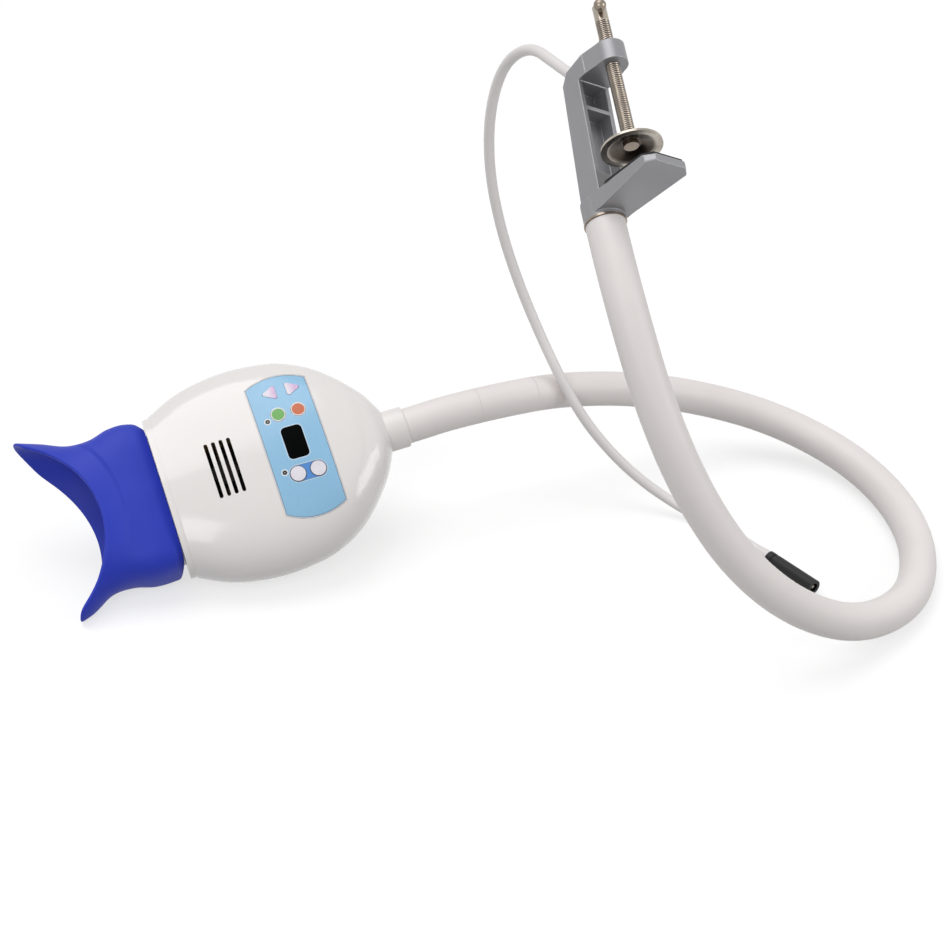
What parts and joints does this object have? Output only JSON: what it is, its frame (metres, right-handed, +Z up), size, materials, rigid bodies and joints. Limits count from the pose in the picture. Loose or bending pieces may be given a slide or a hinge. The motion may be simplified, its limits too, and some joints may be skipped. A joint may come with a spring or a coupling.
{
  "type": "teeth whitening lamp",
  "caption": "Light head with keypad and silicone mouth shield on a bendable sleeved arm, with a screw clamp and a thin power lead ending in an inline socket.",
  "frame": {"origin": "on the table under the middle of the lamp's outline, leaving out the loose lead", "axes": "+X from the head's shield towards the arm's loop, +Y away from the side with the clamp's jaw, +Z up"},
  "size_m": [0.5679, 0.2693, 0.3499],
  "materials": {
    "head_white": "smooth gloss, warm white",
    "collar_white": "satin, warm white",
    "overlay_blue": "printed film, light blue",
    "key_white": "satin white",
    "key_green": "green",
    "key_orange": "orange red",
    "key_pink": "pale pink white",
    "window_black": "black window",
    "board_green": "lacquered board",
    "black_plastic": "black moulding",
    "indicator": "clear grey",
    "steel": "bright steel",
    "nickel": "nickel plate",
    "sink_alloy": "plain alloy",
    "lens_clear": "clear plate",
    "emitter": "clear dome",
    "shield_blue": "silicone, satin deep blue",
    "sleeve_white": "smooth satin sleeve, warm white",
    "cast_grey": "satin silver casting",
    "pad_black": "black rubber",
    "lead_white": "white lead sheath",
    "socket_black": "black moulding"
  },
  "bodies": {
    "stand": {"clamp_body": "cast_grey", "arm_ring": "nickel", "grub_screw": "steel", "jaw_pad": "pad_black", "lead_grommet": "lead_white", "power_lead": "lead_white", "lead_relief": "lead_white", "dc_socket": "socket_black", "socket_pin": "nickel", "arm_sleeve": "sleeve_white", "arm_core": "steel", "swing_sleeve": "sleeve_white", "swing_core": "steel"},
    "neck_link": {"link_sleeve": "sleeve_white", "link_core": "steel"},
    "head": {"upper_housing": "head_white", "lower_housing": "head_white", "housing_screws": "steel", "keypad_overlay": "overlay_blue", "display_window": "window_black", "display_module": "black_plastic", "indicator_lights": "indicator", "control_board": "board_green", "key_switches": "black_plastic", "board_screws": "steel", "cooling_fan": "black_plastic", "nose_bezel": "head_white", "light_window": "lens_clear", "heat_sink": "sink_alloy", "light_board": "board_green", "light_emitters": "emitter", "neck_collar": "collar_white", "collar_nut": "steel", "tilt_sleeve": "sleeve_white", "tilt_core": "steel"},
    "mouth_shield": {"mouth_shield": "shield_blue"},
    "fan_rotor": {"fan_rotor": "black_plastic"},
    "key_up": {"key_up": "key_pink"},
    "key_down": {"key_down": "key_pink"},
    "key_green": {"key_green": "key_green"},
    "key_orange": {"key_orange": "key_orange"},
    "key_white_front": {"key_white_front": "key_white"},
    "key_white_rear": {"key_white_rear": "key_white"},
    "clamp_slide": {"pad_rivet": "nickel"},
    "clamp_screw": {"clamp_screw": "nickel"},
    "swivel_pad": {"swivel_pad": "nickel"},
    "tommy_bar": {"tommy_bar": "nickel"}
  },
  "joints": [
    {"name": "head_swing", "type": "hinge", "parent": "stand", "child": "neck_link", "pos_m": [0.0143, 0.0686, 0.0748], "axis": [0, 0, 1], "range_deg": [-40, 40], "deforming": ["swing_sleeve", "swing_core"]},
    {"name": "head_tilt", "type": "hinge", "parent": "neck_link", "child": "head", "pos_m": [-0.0217, 0.0541, 0.0737], "axis": [-0.3736, 0.9276, 0], "range_deg": [-25, 55], "deforming": ["tilt_sleeve", "tilt_core"]},
    {"name": "shield_pull", "type": "slide", "parent": "head", "child": "mouth_shield", "axis": [-0.9426, -0.2973, -0.1518], "range_m": [0, 0.022]},
    {"name": "fan_spin", "type": "hinge", "parent": "head", "child": "fan_rotor", "pos_m": [-0.15568, -0.00279, 0.06538], "axis": [0.0465, -0.5672, 0.8223], "continuous": true},
    {"name": "key_up_press", "type": "slide", "parent": "head", "child": "key_up", "axis": [-0.0465, 0.5672, -0.8223], "range_m": [0, 0.0006], "stiffness_N_per_m": 150, "springref_m": -0.0004},
    {"name": "key_down_press", "type": "slide", "parent": "head", "child": "key_down", "axis": [-0.0465, 0.5672, -0.8223], "range_m": [0, 0.0006], "stiffness_N_per_m": 150, "springref_m": -0.0004},
    {"name": "key_green_press", "type": "slide", "parent": "head", "child": "key_green", "axis": [-0.0465, 0.5672, -0.8223], "range_m": [0, 0.0006], "stiffness_N_per_m": 150, "springref_m": -0.0004},
    {"name": "key_orange_press", "type": "slide", "parent": "head", "child": "key_orange", "axis": [-0.0465, 0.5672, -0.8223], "range_m": [0, 0.0006], "stiffness_N_per_m": 150, "springref_m": -0.0004},
    {"name": "key_white_front_press", "type": "slide", "parent": "head", "child": "key_white_front", "axis": [-0.0465, 0.5672, -0.8223], "range_m": [0, 0.0006], "stiffness_N_per_m": 150, "springref_m": -0.0004},
    {"name": "key_white_rear_press", "type": "slide", "parent": "head", "child": "key_white_rear", "axis": [-0.0465, 0.5672, -0.8223], "range_m": [0, 0.0006], "stiffness_N_per_m": 150, "springref_m": -0.0004},
    {"name": "clamp_advance", "type": "slide", "parent": "stand", "child": "clamp_slide", "axis": [-0.1619, 0.8502, 0.501], "range_m": [-0.0125, 0.04]},
    {"name": "screw_turn", "type": "hinge", "parent": "clamp_slide", "child": "clamp_screw", "pos_m": [0.07641, 0.00162, 0.30998], "axis": [-0.1619, 0.8502, 0.501], "range_deg": [-3610, 11530]},
    {"name": "pad_tilt", "type": "hinge", "parent": "clamp_slide", "child": "swivel_pad", "pos_m": [0.08095, -0.02218, 0.29595], "axis": [0.8013, 0.4095, -0.436], "range_deg": [-4, 4]},
    {"name": "bar_slide", "type": "slide", "parent": "clamp_screw", "child": "tommy_bar", "axis": [-0.0911, -0.5184, 0.8503], "range_m": [0, 0.0265]}
  ],
  "couplings": [
    {"joint": "screw_turn", "follows": "clamp_advance", "rad_per_m": 5026.5}
  ]
}
